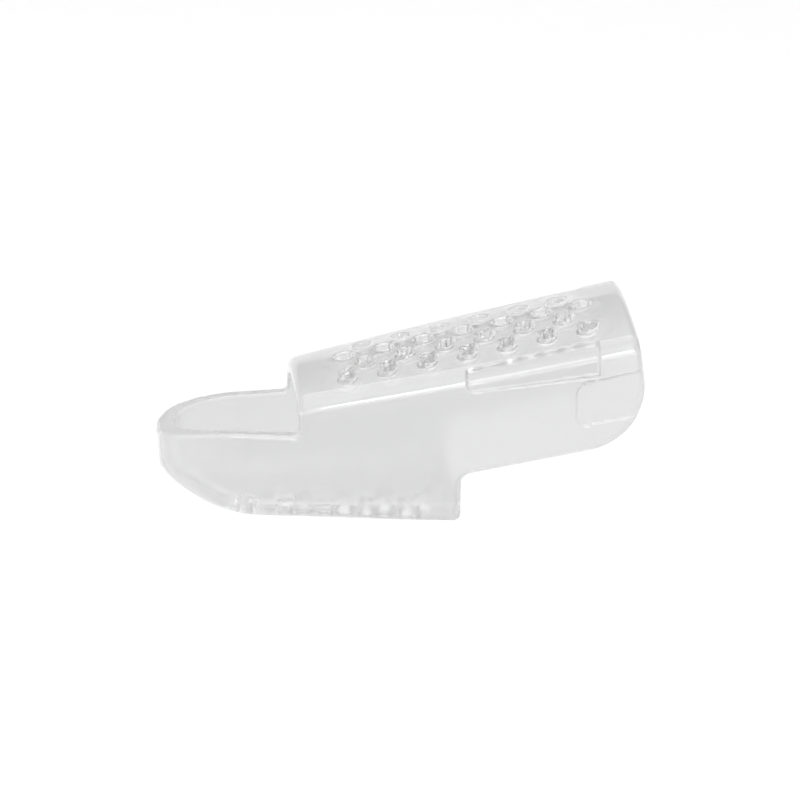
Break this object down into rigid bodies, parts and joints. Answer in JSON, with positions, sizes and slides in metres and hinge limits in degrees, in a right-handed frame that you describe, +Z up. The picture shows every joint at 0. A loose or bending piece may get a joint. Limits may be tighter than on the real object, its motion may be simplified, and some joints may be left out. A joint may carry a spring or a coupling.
{
  "type": "finger splint",
  "caption": "Clear moulded finger splint: closed nose, nail window, perforated floor and roof, and a tilted hood open below that takes the finger.",
  "frame": {"origin": "centre of the bounding box, on the surface that the flat floor rests on", "axes": "+X along the finger from the closed nose to the open mouth, +Y to the left of a finger pointing along -X, +Z up from the palm side to the back of the finger"},
  "size_m": [0.0597, 0.0212, 0.0251],
  "materials": {
    "clear_plastic": "clear, colourless, smooth moulded gloss"
  },
  "bodies": {
    "root": {"splint_shell": "clear_plastic"}
  },
  "joints": []
}
